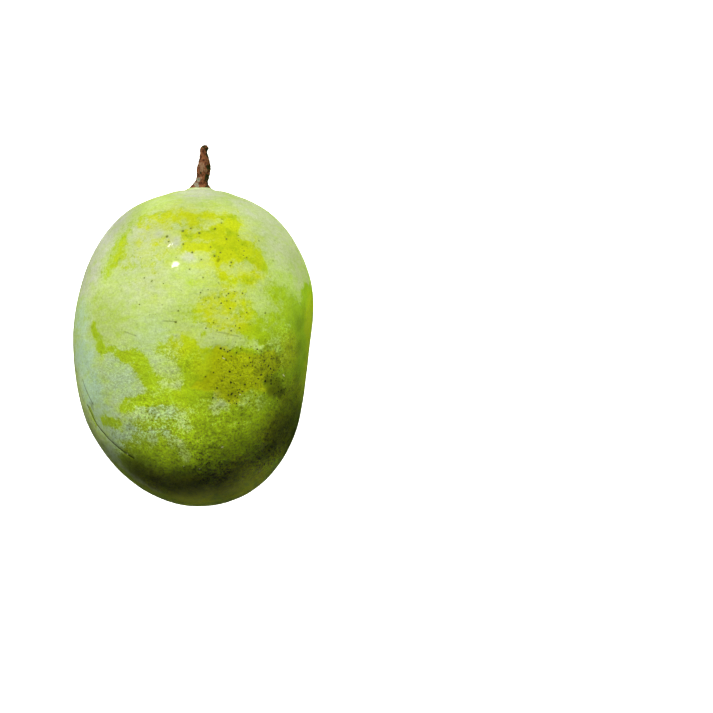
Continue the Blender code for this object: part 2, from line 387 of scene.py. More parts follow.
# Corky nicks, pale: x, y, half-length, half-width and slope in degrees.
NICKS = (
    (26.7, -8.4, 0.85, 0.34, -28.0),
    (12.8, -14.5, 0.30, 0.24, 10.0),
    (7.6, -3.0, 0.55, 0.20, -20.0),
    (7.2, -31.2, 0.40, 0.28, 5.0),
    (-22.9, -33.4, 0.30, 0.20, -35.0),
    (0.0, -38.1, 0.26, 0.22, 0.0),
    (-5.1, -37.2, 0.24, 0.20, 0.0),
    (19.1, -38.9, 0.30, 0.22, 30.0),
)

# Hidden marks are drawn by chance: how many, then the ranges that they are drawn from.
CHANCE_SEED = 11
HIDDEN_RUBS = 34
RUB_REACH_X, RUB_REACH_Y = 36, 46
RUB_STRENGTHS = (0.6, 1.0)
RUB_SOFTNESSES = (1.2, 4.0)
RUB_DISCS = (2, 5)
RUB_RADII = (0.5, 2.8)
RUB_STEPS = (3.0, 7.0)
RUB_BEND = 0.7
HIDDEN_SPECKS = 70
HIDDEN_SPECK_X, HIDDEN_SPECK_Y = (-37, 37), (-49, 47)
HIDDEN_SPECK_RADII = (0.18, 0.48)
HIDDEN_SPECK_SOOT = (0.3, 1.0)

# What stands in for a divisor of about 0, and where distances to marks are cut off.
NEAR_ZERO = 1e-9
FAR_MM = 9.0


def camera_distance():
    return VIEW_WIDTH * bpy.context.scene.mango_stage.lens / SENSOR_WIDTH_MM


def line_of_sight(x, y):
    """Start and direction, in own axes, of the line of sight through a point of the plane of marks."""
    eye = Vector((*VIEW_MIDDLE, camera_distance()))
    return eye, (Vector((x * MM, y * MM, 0)) - eye).normalized()


def seen_as(points):
    """Where the camera sees own-axes points, as x and y in mm in the plane of marks."""
    eye = np.array((*VIEW_MIDDLE, camera_distance())) / MM
    scale = eye[2] / (eye[2] - points[:, 2])
    return eye[:2] + (points[:, :2] - eye[:2]) * scale[:, None]


def smooth_step(low, high, value):
    part = np.clip((value - low) / (high - low), 0, 1)
    return part * part * (3 - 2 * part)


def chain_gap(points, chain):
    """Distance in mm from points to a chain of balls, each a place and a radius. It is below 0 inside."""
    gap = np.full(len(points), np.inf)
    for (start, start_radius), (end, end_radius) in zip(chain, chain[1:] or chain):
        span = end - start
        along = np.clip((points - start) @ span / max(float(span @ span), NEAR_ZERO), 0, 1)
        away = np.linalg.norm(points - start - along[:, None] * span, axis=1)
        gap = np.minimum(gap, away - start_radius - (end_radius - start_radius) * along)
    return gap


def outline_gap(points, outline):
    """Distance in mm from points of the plane of marks to a closed outline. It is below 0 inside."""
    gap = np.full(len(points), np.inf)
    inside = np.zeros(len(points), bool)
    corners = np.array(outline)
    for start, end in zip(corners, np.roll(corners, -1, axis=0)):
        span = end - start
        along = np.clip((points - start) @ span / (span @ span), 0, 1)
        gap = np.minimum(gap, np.linalg.norm(points - start - along[:, None] * span, axis=1))
        crosses = (start[1] > points[:, 1]) != (end[1] > points[:, 1])
        rise = np.where(span[1] == 0, NEAR_ZERO, span[1])
        inside ^= crosses & (points[:, 0] < start[0] + (points[:, 1] - start[1]) * span[0] / rise)
    return np.where(inside, -gap, gap)


def line_side(points, line):
    """Signed distance in mm, along the skin, across a line of places on it, and plain distance to it."""
    side = np.full(len(points), np.inf)
    gap = np.full(len(points), np.inf)
    outward = points / np.linalg.norm(points, axis=1)[:, None]
    for start, end in zip(line, line[1:]):
        span = end - start
        along = np.clip((points - start) @ span / (span @ span), 0, 1)
        away = points - start - along[:, None] * span
        distance = np.linalg.norm(away, axis=1)
        across = (np.cross(outward, span / np.linalg.norm(span)) * away).sum(axis=1)
        nearer = distance < gap
        side[nearer] = across[nearer]
        gap[nearer] = distance[nearer]
    return side, gap


# A Mix node's colour sockets by number, because its names are shared between its kinds.
MIX_A, MIX_B, MIX_OUT = 6, 7, 2


def feed(tree, node, inputs):
    """Gives a node's inputs, by name or number, their values or other nodes' outputs."""
    for name, value in inputs.items():
        if isinstance(value, bpy.types.NodeSocket):
            tree.links.new(value, node.inputs[name])
        else:
            node.inputs[name].default_value = value


def add_node(tree, kind, inputs, out=0, **settings):
    """Adds a shader node with its settings and links, and gives one of its outputs, by name or number."""
    node = tree.nodes.new("ShaderNode" + kind)
    for name, value in settings.items():
        setattr(node, name, value)
    feed(tree, node, inputs)
    return node.outputs[out]


def new_material(name):
    material = bpy.data.materials.new(name)
    material.use_nodes = True
    return material, material.node_tree, material.node_tree.nodes["Principled BSDF"]


def rgba(colour):
    return (*colour[:3], 1.0)


def place_in_mm(tree):
    """Where a point of the piece is, in mm."""
    place = add_node(tree, "TexCoord", {}, "Object")
    return add_node(tree, "VectorMath", {0: place, "Scale": 1 / MM}, operation="SCALE")


def grown_pattern(tree, mm, size, detail, roughness, stretch=(1.0, 1.0, 1.0)):
    """A pattern of lumps of a size in mm. A stretch under 1 draws them out along that axis."""
    drawn = add_node(tree, "VectorMath", {0: mm, 1: stretch}, operation="MULTIPLY")
    lumps = {"Vector": drawn, "Scale": 1 / size, "Detail": detail, "Roughness": roughness}
    return add_node(tree, "TexNoise", lumps)


def swayed(tree, field, sways):
    """A field moved up and down by patterns, each by its share."""
    for pattern, share in sways:
        sway = add_node(tree, "Math", {0: pattern, 1: share, 2: -share / 2}, operation="MULTIPLY_ADD")
        field = add_node(tree, "Math", {0: field, 1: sway}, operation="ADD")
    return field


def varied(tree, value, pattern, field, least, more):
    """A value moved up and down by a pattern: by least where the field is 0, by more too where it is 1."""
    share = add_node(tree, "Math", {0: field, 1: more, 2: least}, operation="MULTIPLY_ADD")
    sway = add_node(tree, "Math", {0: pattern, 1: 0.5}, operation="SUBTRACT")
    return add_node(tree, "Math", {0: sway, 1: share, 2: value}, operation="MULTIPLY_ADD")


def masked(tree, field, sways, low, high, top=1.0):
    """A mask with a ragged edge: it goes from 0 to top while the field, swayed, goes from low to high."""
    limits = {"Value": swayed(tree, field, sways), "From Min": low, "From Max": high, "To Max": top}
    return add_node(tree, "MapRange", limits, interpolation_type="SMOOTHSTEP")


def coated(tree, surface, coats):
    """A surface under coats of colour, laid one after the other, each as thick as its mask says."""
    for mask, colour in coats:
        layers = {0: mask, MIX_A: surface, MIX_B: colour}
        surface = add_node(tree, "Mix", layers, MIX_OUT, data_type="RGBA")
    return surface


def shaded(tree, surface, shades):
    """A surface made lighter or darker by each of its shades."""
    for shade in shades:
        surface = add_node(tree, "VectorMath", {0: surface, "Scale": shade}, operation="SCALE")
    return surface


def bumped(tree, bumps):
    """The normals of bumps over finer bumps: each a pattern, a strength, a height and if it is turned in."""
    under = {}
    for pattern, strength, height, turned_in in bumps:
        bump = {"Height": pattern, "Strength": strength, "Distance": height, **under}
        under = {"Normal": add_node(tree, "Bump", bump, invert=turned_in)}
    return under["Normal"]


def colour_setting(name, description, code):
    """A colour that a user would change, given as an sRGB hex colour."""
    return bpy.props.FloatVectorProperty(
        name=name, description=description, default=linear(code), subtype="COLOR", min=0, max=1
    )


def height_setting(name, description, height, precision):
    """The height or depth of a relief that a user would change."""
    return bpy.props.FloatProperty(
        name=name, description=description, default=height, unit="LENGTH", precision=precision
    )


def power_setting(name, description, power):
    """A light's power that a user would change."""
    return bpy.props.FloatProperty(
        name=name, description=description, default=power, subtype="POWER", unit="POWER"
    )


class MangoSkinSettings(bpy.types.PropertyGroup):
    """Sizes and colours of the skin."""

    unevenness: height_setting("Unevenness", "Height of the skin's broad swells", 0.22 * MM, 5)
    pebbling: height_setting("Pebbling", "Height of the skin's fine bumps", 0.03 * MM, 6)
    green: colour_setting("Green skin", "Bare unripe skin", "#9DBA18")
    deep_green: colour_setting("Deep green skin", "Bare skin's deeper patches", "#84A010")
    yellow: colour_setting("Yellow skin", "Bare skin that ripens", "#B6C214")
    bloom: colour_setting("Bloom", "Thin wax bloom", "#B7C784")
    thick_bloom: colour_setting("Thick bloom", "Thick cool wax bloom", "#A5C19C")
    dry_bloom: colour_setting("Dry bloom", "Old warm wax bloom", "#B5BA9E")
    stain: colour_setting("Stain", "Sap-stained skin", "#A9B30C")
    smear: colour_setting("Smear", "Sooty smears and bruises", "#5A5E02")
    pore: colour_setting("Pore", "Lenticels", "#4F6410")
    crack: colour_setting("Crack", "Hairline cracks", "#34381E")


class MangoStalkSettings(bpy.types.PropertyGroup):
    """Sizes and colours of the stalk."""

    bark_relief: height_setting("Bark relief", "Depth of the bark's furrows", 0.16 * MM, 5)
    bark: colour_setting("Bark", "Dry bark", "#7A4C30")
    dark_bark: colour_setting("Dark bark", "Bark in furrows and bands", "#492819")


class MangoStageSettings(bpy.types.PropertyGroup):
    """The camera and the lights."""

    lens: bpy.props.FloatProperty(
        name="Lens", description="Focal length", subtype="DISTANCE_CAMERA", default=100.0, min=50, max=200
    )
    key_power: power_setting("Key light", "Power of the large softbox", 104.0)
    fill_power: power_setting("Fill light", "Power of the fill from the left", 9.0)
    card_power: power_setting("Green card", "Power of the card beside the right flank", 0.019)
    upper_glint_power: power_setting("Upper glint", "Power of the light of the larger glint", 0.75)
    lower_glint_power: power_setting("Lower glint", "Power of the light of the smaller glint", 0.22)


def own_tree(mesh):
    """A search tree, in the fruit's own axes, over a mesh that lies as the fruit lies."""
    back = OWN.inverted()
    verts = [back @ vert.co for vert in mesh.vertices]
    return BVHTree.FromPolygons(verts, [tuple(face.vertices) for face in mesh.polygons])


def as_mesh(name, shape):
    mesh = bpy.data.meshes.new(name)
    shape.to_mesh(mesh)
    shape.free()
    return mesh


def add_piece(context, name, mesh, material):
    mesh.shade_smooth()
    mesh.materials.append(material)
    piece = bpy.data.objects.new(name, mesh)
    context.scene.collection.objects.link(piece)
    return piece


def join_rings(shape, lower, upper):
    """Faces between two rings of points."""
    for side in range(len(lower)):
        after = (side + 1) % len(lower)
        shape.faces.new((lower[side], lower[after], upper[after], upper[side]))


# The skin's cage: a ball of six square patches, and how often it is subdivided after it is shrunk on to the
# fruit. The half sizes aim its points at the fruit, and the margin keeps its bake islands apart.
PATCH_CELLS = 16
SKIN_LEVELS = 3
HALF_SIZES = (0.038, 0.050, 0.034)
BAKE_MARGIN = 0.01
BAKE_COLUMNS, BAKE_ROWS = 3, 2


def patch_of(face):
    """Which of the ball's six patches a face of its cage lies on, and the two axes that run along it."""
    middle = face.calc_center_median()
    axis = max(range(3), key=lambda index: abs(middle[index]))
    first, second = [index for index in range(3) if index != axis]
    return axis * 2 + (middle[axis] > 0), first, second


def ball_cage():
    """A ball of evenly spaced squares, with a bake map that gives each patch its own island."""
    cage = bmesh.new()
    bmesh.ops.create_cube(cage, size=2.0)
    bmesh.ops.subdivide_edges(cage, edges=cage.edges[:], cuts=PATCH_CELLS - 1, use_grid_fill=True)
    bake = cage.loops.layers.uv.new("OFBake")
    for face in cage.faces:
        number, first, second = patch_of(face)
        column, row = number % BAKE_COLUMNS, number // BAKE_COLUMNS
        for loop in face.loops:
            across = BAKE_MARGIN + (1 - 2 * BAKE_MARGIN) * (loop.vert.co[first] + 1) / 2
            up = BAKE_MARGIN + (1 - 2 * BAKE_MARGIN) * (loop.vert.co[second] + 1) / 2
            loop[bake].uv = ((column + across) / BAKE_COLUMNS, (row + up) / BAKE_ROWS)
    for vert in cage.verts:
        vert.co = Vector([math.tan(part * math.pi / 4) for part in vert.co]).normalized()
    return cage


def shrunk_cage():
    """The cage, each point moved out to the CAD fruit."""
    fruit = own_tree(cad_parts[FRUIT_NODE].data)
    cage = ball_cage()
    for vert in cage.verts:
        ray = Vector([part * size for part, size in zip(vert.co, HALF_SIZES)])
        hit = fruit.ray_cast(Vector((0, 0, 0)), ray.normalized())[0]
        if hit is None:
            raise RuntimeError("the CAD fruit doesn't close round its middle")
        vert.co = hit
    return as_mesh("mango_cage", cage)


def subdivided(mesh, levels):
    """A new mesh: the first one subdivided smoothly."""
    holder = bpy.data.objects.new("cage", mesh)
    bpy.context.scene.collection.objects.link(holder)
    smooth = holder.modifiers.new("smooth", "SUBSURF")
    smooth.levels = smooth.render_levels = levels
    evaluated = holder.evaluated_get(bpy.context.evaluated_depsgraph_get())
    result = bpy.data.meshes.new_from_object(evaluated)
    bpy.data.objects.remove(holder)
    bpy.data.meshes.remove(mesh)
    return result


def get_points(mesh):
    """A mesh's points in mm."""
    points = np.empty(len(mesh.vertices) * 3)
    mesh.vertices.foreach_get("co", points)
    return points.reshape(-1, 3) / MM


def get_normals(mesh):
    normals = np.empty(len(mesh.vertices) * 3, np.float32)
    mesh.vertex_normals.foreach_get("vector", normals)
    return normals.reshape(-1, 3).astype(float)


def set_points(mesh, points):
    mesh.vertices.foreach_set("co", (points * MM).ravel())
    mesh.update()


# How far each seed of the noise moves it, in lumps.
SEED_SHIFT = (17.3, 5.1, 9.7)


def noise_at(points, size, seed):
    """Smooth noise from -1 to 1 whose lumps are about that size in mm."""
    shift = Vector([seed * part for part in SEED_SHIFT])
    return np.array([noise.noise(Vector(point) / size + shift) for point in points])


# The seeds of the skin's noises, and of the bark's.
SWELL_SEED, RIPPLE_SEED, PEBBLE_SEED, FRAY_SEED, BARK_SEED = 1, 2, 3, 4, 20

# How marks are frayed: lump sizes, and how far each moves a mark's edge at most, in mm.
FRAY_MM = ((5.0, 1.2), (2.0, 1.0), (0.9, 0.7))


def frayed(points):
    """The points, each moved a little by chance, so that marks looked up there get ragged edges."""
    moved = points.copy()
    for size, reach in FRAY_MM:
        for axis in range(3):
            moved[:, axis] += reach * noise_at(points, size, FRAY_SEED + axis)
    return moved


# The collar: height of the skin above the fruit's middle plane at distances from the stalk's axis, in mm, and
# where the collar fades into the rest.
COLLAR_RADII_MM = (0.0, 2.2, 3.1, 3.7, 4.6, 6.0, 8.0, 10.5, 14.0)
COLLAR_HEIGHTS_MM = (50.3, 50.5, 51.05, 50.95, 50.4, 49.95, 49.8, 49.2, 48.05)
COLLAR_FADE_MM = (8.5, 13.0)

# The skin's lumps, the scar at the tip, the sunk stain and the cracks.
SWELL_MM, RIPPLE_MM, PEBBLE_MM = 17.0, 6.5, 1.3
RIPPLE_SHARE = 0.4
SCAR_PLACE_MM = (4.5, -49.0, -7.0)
SCAR_HEIGHT_MM = 0.45
SCAR_SPREAD_MM = 2.4
STAIN_DEPTH_MM = 0.10
STAIN_EDGE_MM = 0.6
CRACK_DEPTH_MM = 0.16
CRACK_WIDTH_MM = 0.35


def raise_collar(points):
    """Draws the skin up to the stalk in a thin lip."""
    radius = np.hypot(points[:, 0], points[:, 2])
    near = (points[:, 1] > 0) & (radius < COLLAR_RADII_MM[-1])
    height = np.interp(radius, COLLAR_RADII_MM, COLLAR_HEIGHTS_MM)
    keep = smooth_step(*COLLAR_FADE_MM, radius)
    points[near, 1] = (height + (points[:, 1] - height) * keep)[near]


def relief(points, marks, settings):
    """How far the skin stands out from a smooth oval, in mm."""
    swells = noise_at(points, SWELL_MM, SWELL_SEED) + RIPPLE_SHARE * noise_at(points, RIPPLE_MM, RIPPLE_SEED)
    height = settings.unevenness / MM * swells
    height += settings.pebbling / MM * noise_at(points, PEBBLE_MM, PEBBLE_SEED)
    height -= STAIN_DEPTH_MM * smooth_step(STAIN_EDGE_MM, -STAIN_EDGE_MM, marks["stain"])
    crack = marks["crack_dark"] ** 2 * smooth_step(CRACK_WIDTH_MM * 2, 0, marks["crack_gap"])
    scar = np.linalg.norm(points - np.array(SCAR_PLACE_MM), axis=1) / SCAR_SPREAD_MM
    return height - CRACK_DEPTH_MM * crack + SCAR_HEIGHT_MM * np.exp(-(scar**2))


def on_skin(tree, x, y):
    """The place where the camera sees a mark on the skin, in mm in the fruit's own axes."""
    place = tree.ray_cast(*line_of_sight(x, y))[0]
    if place is None:
        place = tree.find_nearest(Vector((x * MM, y * MM, 0)))[0]
    return np.array(place) / MM


def chain_on_skin(tree, chain):
    """A chain of discs of the plane of marks, as places on the skin with their radii."""
    return [(on_skin(tree, x, y), radius) for x, y, radius in chain]


BELOW_FRUIT = -0.2


def under_skin(tree, x, y):
    """The place on the lower cheek straight below x and y, or None beside the fruit."""
    place = tree.ray_cast(Vector((x * MM, y * MM, BELOW_FRUIT)), Vector((0, 0, 1)))[0]
    return None if place is None else np.array(place) / MM


# Where a soft disc starts and where it is full, as shares of its radius: a disc of finish, and one of tone,
# with its painted light and shade.
DISC_EDGE = (1.5, 0.4)
TONE_AND_SHADE_EDGE = (1.6, 0.3)


def disc_field(points, tree, discs):
    """Soft discs laid on the skin, each a place, a radius and a strength. The strongest one counts."""
    field = np.zeros(len(points))
    for x, y, radius, strength in discs:
        away = np.linalg.norm(points - on_skin(tree, x, y), axis=1) / radius
        field = np.maximum(field, strength * smooth_step(*DISC_EDGE, away))
    return field


def tone_and_shade_field(points, tree):
    """How pale or deep the skin is painted, much of it as painted light and shade. Discs that overlap add to
    each other.
    """
    tone_and_shade = np.ones(len(points))
    for x, y, radius, share in TONES_AND_PAINTED_SHADE:
        away = np.linalg.norm(points - on_skin(tree, x, y), axis=1) / radius
        tone_and_shade *= 1 + share * smooth_step(*TONE_AND_SHADE_EDGE, away)
    return tone_and_shade


def hidden_chains(tree):
    """Rub marks for the lower cheek and the flanks, drawn by chance."""
    chance = random.Random(CHANCE_SEED)
    chains = []
    while len(chains) < HIDDEN_RUBS:
        x, y = chance.uniform(-RUB_REACH_X, RUB_REACH_X), chance.uniform(-RUB_REACH_Y, RUB_REACH_Y)
        heading = chance.uniform(0, math.tau)
        strength, softness = chance.uniform(*RUB_STRENGTHS), chance.uniform(*RUB_SOFTNESSES)
        chain = []
        for _ in range(chance.randint(*RUB_DISCS)):
            place = under_skin(tree, x, y)
            if place is not None:
                chain.append((place, chance.uniform(*RUB_RADII)))
            heading += chance.uniform(-RUB_BEND, RUB_BEND)
            step = chance.uniform(*RUB_STEPS)
            x, y = x + step * math.cos(heading), y + step * math.sin(heading)
        if chain:
            chains.append((strength, softness, chain))
    return chains


# How much wider than its table says the edge of a rub mark is feathered, and how far inside it is full.
FEATHER = 1.5
RUB_INSIDE = 0.35


def rub_field(points, tree):
    """How hard the bloom is rubbed at each point, from 0, untouched, to 1, bare."""
    field = np.zeros(len(points))
    seen = [(hard, soft * FEATHER, chain_on_skin(tree, chain)) for hard, soft, chain in RUB_MARKS]
    for hard, soft, chain in seen + hidden_chains(tree):
        field = np.maximum(field, hard * smooth_step(soft, -soft * RUB_INSIDE, chain_gap(points, chain)))
    for hard, soft, chain in KEPT_MARKS:
        gap = chain_gap(points, chain_on_skin(tree, chain))
        field *= 1 - hard * smooth_step(soft * FEATHER, -soft * RUB_INSIDE, gap)
    return field


def crack_fields(points, tree):
    """Signed and plain distance to the nearest crack or scratch, and how dark that one is."""
    side = np.full(len(points), FAR_MM)
    gap = np.full(len(points), FAR_MM)
    dark = np.zeros(len(points))
    for darkness, line in CRACKS:
        line_across, line_gap = line_side(points, [on_skin(tree, x, y) for x, y in line])
        nearer = line_gap < gap
        side[nearer], gap[nearer], dark[nearer] = line_across[nearer], line_gap[nearer], darkness
    return {"crack_side": np.clip(side, -FAR_MM, FAR_MM), "crack_gap": gap, "crack_dark": dark}


# The stained ring round each speck: how dark, how far out it reaches in mm, and where it is full, as a share
# of the speck's radius. Then how far inside its edge a smear is full.
SPECK_RING = 0.55
SPECK_RING_MM = 0.55
SPECK_RING_FULL = 0.5
SMEAR_INSIDE = 0.5


def smear_field(points, loose, tree):
    """Dark smears with ragged edges, and the soft ring of stained skin round each speck."""
    field = np.zeros(len(points))
    for x, y, radius in CROWN_SPECKS + STAIN_SPECKS:
        away = np.linalg.norm(points - on_skin(tree, x, y), axis=1)
        ring = smooth_step(radius + SPECK_RING_MM, radius * SPECK_RING_FULL, away)
        field = np.maximum(field, SPECK_RING * ring)
    for darkness, soft, chain in SMEARS:
        gap = chain_gap(loose, chain_on_skin(tree, chain))
        field = np.maximum(field, darkness * smooth_step(soft, -soft * SMEAR_INSIDE, gap))
    return field


def stain_field(points, loose):
    """Distance from the edge of the stain, which is on the upper side only."""
    gap = np.where(points[:, 2] > 0, outline_gap(seen_as(loose), STAIN_OUTLINE), FAR_MM)
    return np.clip(gap, -FAR_MM, FAR_MM)


def skin_marks(points, tree):
    """Every field that the skin's finish is drawn from, one value for each point of the mesh."""
    loose = frayed(points)
    return {
        "rub": rub_field(loose, tree),
        "ripe": disc_field(loose, tree, RIPE_SKIN),
        "thick": disc_field(loose, tree, THICK_BLOOM),
        "dry": disc_field(loose, tree, DRY_BLOOM),
        "pored": np.maximum(PORES_ELSEWHERE, disc_field(points, tree, PORED_SKIN)),
        "coarse": np.maximum(COARSE_ELSEWHERE, disc_field(points, tree, COARSE_SKIN)),
        "tone_and_shade": tone_and_shade_field(points, tree),
        "smear": smear_field(points, loose, tree),
        "stain": stain_field(points, loose),
        **crack_fields(points, tree),
    }


def store_marks(mesh, marks):
    for name, values in marks.items():
        layer = mesh.attributes.new(name, "FLOAT", "POINT")
        layer.data.foreach_set("value", values.astype(np.float32))


def marks_read(tree, names):
    """The marks stored on the piece, by name."""
    return {name: add_node(tree, "Attribute", {}, "Fac", attribute_name=name) for name in names}


# The patterns of the skin: name, size of the lumps in mm, detail, roughness, and stretch along three axes.
SKIN_PATTERNS = (
    ("grain", 0.714, 4.0, 0.88, (1.0, 1.0, 1.0)),
    ("fray", 2.78, 6.0, 0.72, (1.0, 1.0, 1.0)),
    ("lobes", 3.57, 3.0, 0.6, (1.0, 1.0, 1.0)),
    ("clouds", 11.1, 3.0, 0.55, (1.0, 1.0, 1.0)),
    ("streaks", 2.0, 4.0, 0.65, (0.3, 1.0, 0.6)),
)
PEEL_MM = 0.667
PEEL_SMOOTHNESS = 0.6

# Pores: their spacing in mm, their radius as a part of that spacing, and how dark. Real ones are finer and
# closer, and wouldn't show.
PORE_KINDS = ((1.11, 0.34, 0.6), (2.78, 0.16, 0.8))

# Where a crack's colour starts and where it is full: distance across the crack, and plain distance to it.
CRACK_SIDE_MM = (0.34, 0.1)
CRACK_GAP_MM = (0.7, 0.3)

# How thick the bloom is where it is thin, and how much thicker where it is thick or dry.
THIN_BLOOM = 0.58
THICKER_BLOOM = 0.3


def skin_patterns(tree):
    """The patterns that the skin's finish is drawn with, by name."""
    mm = place_in_mm(tree)
    patterns = {name: grown_pattern(tree, mm, *rest) for name, *rest in SKIN_PATTERNS}
    peel = {"Vector": mm, "Scale": 1 / PEEL_MM, "Smoothness": PEEL_SMOOTHNESS}
    return {"mm": mm, "peel": add_node(tree, "TexVoronoi", peel, "Distance", feature="SMOOTH_F1"), **patterns}


def bare_skin(tree, settings, field, pattern):
    """Green skin that turns yellow where it ripens, deeper in patches."""
    ripe = masked(tree, field["ripe"], ((pattern["clouds"], 0.8), (pattern["fray"], 0.8)), low=-0.1, high=1.0)
    deep = masked(tree, pattern["lobes"], (), low=0.45, high=0.75, top=0.6)
    coats = ((ripe, rgba(settings.yellow)), (deep, rgba(settings.deep_green)))
    return coated(tree, rgba(settings.green), coats)


def bloomed_skin(tree, settings, field, pattern, bare, surface):
    """The skin under its bloom: thin over most of it, cool where thick, warm where dry."""
    coats = ((field["dry"], rgba(settings.dry_bloom)), (field["thick"], rgba(settings.thick_bloom)))
    film = coated(tree, rgba(settings.bloom), coats)
    depth = add_node(tree, "Math", {0: field["thick"], 1: field["dry"]}, operation="MAXIMUM")
    depth = add_node(tree, "Math", {0: depth, 1: THICKER_BLOOM}, operation="MULTIPLY")
    depth = swayed(tree, depth, ((pattern["streaks"], 1.3), (pattern["fray"], 1.2), (pattern["lobes"], 0.7)))
    depth = add_node(tree, "Math", {0: depth, 1: THIN_BLOOM}, operation="ADD", use_clamp=True)
    unrubbed = add_node(tree, "Math", {0: 1.0, 1: bare}, operation="SUBTRACT")
    depth = add_node(tree, "Math", {0: depth, 1: unrubbed}, operation="MULTIPLY")
    return coated(tree, surface, ((depth, film),))


def stained_skin(tree, settings, field, pattern, surface):
    """Sap stain with a ragged edge, and dark smears."""
    stain = masked(tree, field["stain"], ((pattern["fray"], 7.0),), low=0.9, high=-0.9, top=0.85)
    smear = masked(tree, field["smear"], ((pattern["grain"], 1.2),), low=0.1, high=1.0, top=0.9)
    return coated(tree, surface, ((stain, rgba(settings.stain)), (smear, rgba(settings.smear))))


def pored_skin(tree, settings, field, pattern, surface):
    """Lenticels, the skin's breathing pores: dark dots of many sizes."""
    for spacing, radius, darkness in PORE_KINDS:
        cell = add_node(tree, "TexVoronoi", {"Vector": pattern["mm"], "Scale": 1 / spacing}, "Color")
        size = {"Value": cell, "From Min": 0.35, "From Max": 1.0, "To Max": radius}
        depth = {0: add_node(tree, "MapRange", size), 1: cell.node.outputs["Distance"]}
        depth = add_node(tree, "Math", depth, operation="SUBTRACT")
        pore = {0: masked(tree, depth, (), low=-0.05, high=0.05, top=darkness), 1: field["pored"]}
        pore = add_node(tree, "Math", pore, operation="MULTIPLY")
        surface = coated(tree, surface, ((pore, rgba(settings.pore)),))
    return surface


def cracked_skin(tree, settings, field, surface):
    """Hairline cracks and scratches, each as dark as its mark says."""
    across = add_node(tree, "Math", {0: field["crack_side"]}, operation="ABSOLUTE")
    line = field["crack_dark"]
    for distance, edge_mm in ((across, CRACK_SIDE_MM), (field["crack_gap"], CRACK_GAP_MM)):
        edge = masked(tree, distance, (), *edge_mm)
        line = add_node(tree, "Math", {0: line, 1: edge}, operation="MULTIPLY")
    return coated(tree, surface, ((line, rgba(settings.crack)),))


def waxed_mango_skin(settings, marks):
    """Mango skin, grown with a bloom of wax and rubbed in handling.

    The bloom is a pale, matte film. Where it is rubbed off, the skin is vivid, darker and smoother, and the
    film's edge is grainy, because it wears off the skin's pebbles first.
    """
    material, tree, shader = new_material("mango_skin_waxed_and_rubbed")
    pattern = skin_patterns(tree)
    field = marks_read(tree, marks)
    worn = swayed(tree, field["rub"], ((pattern["fray"], 2.0), (pattern["clouds"], 0.7)))
    worn = varied(tree, worn, pattern["grain"], field["coarse"], least=-0.6, more=-2.6)
    bare = masked(tree, worn, (), low=0.2, high=0.8)
    surface = bare_skin(tree, settings, field, pattern)
    surface = bloomed_skin(tree, settings, field, pattern, bare, surface)
    surface = stained_skin(tree, settings, field, pattern, surface)
    surface = pored_skin(tree, settings, field, pattern, surface)
    surface = cracked_skin(tree, settings, field, surface)
    # each pebble is a little lighter or darker than the next
    shade = varied(tree, 1.0, pattern["grain"], field["coarse"], least=0.6, more=3.2)
    shade = varied(tree, shade, pattern["fray"], field["coarse"], least=0.3, more=-2.4)
    bumps = (
        (pattern["grain"], field["coarse"], 0.7 * MM, False),
        (pattern["peel"], field["coarse"], 0.06 * MM, True),
        (pattern["lobes"], 0.5, 0.4 * MM, False),
    )
    # the tone discs paint light and shade into the skin's colour, such as the dark band of shade towards the
    # tip
    feed(tree, shader, {
        "Base Color": shaded(tree, surface, (shade, field["tone_and_shade"])),
        "Roughness": add_node(tree, "MapRange", {"Value": bare, "To Min": 0.62, "To Max": 0.42}),
        "Normal": bumped(tree, bumps),
        "IOR": 1.45,
        "Specular IOR Level": 0.35,
        "Coat Weight": 0.25,
        "Coat Roughness": 0.08,
    })
    return material


class MANGO_OT_grow_skin(bpy.types.Operator):
    """Grow the fruit's skin round its CAD solid, with its relief, bloom, rub marks, stain and cracks"""

    bl_idname = "mango.grow_skin"
    bl_label = "Grow Skin"

    def execute(self, context):
        settings = context.scene.mango_skin
        mesh = subdivided(shrunk_cage(), SKIN_LEVELS)
        mesh.name = "mango_skin"
        points = get_points(mesh)
        raise_collar(points)
        set_points(mesh, points)
        tree = BVHTree.FromPolygons(
            [vert.co for vert in mesh.vertices], [tuple(face.vertices) for face in mesh.polygons]
        )
        marks = skin_marks(points, tree)
        set_points(mesh, points + get_normals(mesh) * relief(points, marks, settings)[:, None])
        store_marks(mesh, marks)
        mesh.transform(OWN)
        for vert in mesh.vertices:
            vert.co.z = max(vert.co.z, 0.0)
        skin = add_piece(context, "mango_skin", mesh, waxed_mango_skin(settings, marks))
        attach(skin, BODY)
        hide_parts(FRUIT_NODE)
        return {"FINISHED"}


# The specks' mesh: points round each, how high it stands and how deep its edge is sunk, its middle ring as a
# share of its radius, its top as a share of its height, and how uneven it is round its edge.
SPECK_SIDES = 10
SPECK_HEIGHT_MM = 0.05
SPECK_SINK_MM = 0.04
SPECK_RING_SHARE = 0.65
SPECK_TOP_SHARE = 1.3
SPECK_WOBBLE = (0.75, 1.2)

# How sooty the specks of each kind are, and how much of that one may have, at least and at most.
CROWN_SOOT, STAIN_SOOT = 0.36, 1.0
SPECK_SOOT_SHARES = (0.7, 1.0)
PEPPER_SOOT_SHARES = (0.6, 1.0)

# The dry dot on the scar at the tip: half-length and half-width in mm, soot and cork.
SCAR_DOT_MM = (0.9, 0.75)
SCAR_SOOT, SCAR_CORK = 0.6, 0.12

CRUMB_MM = 1 / 3


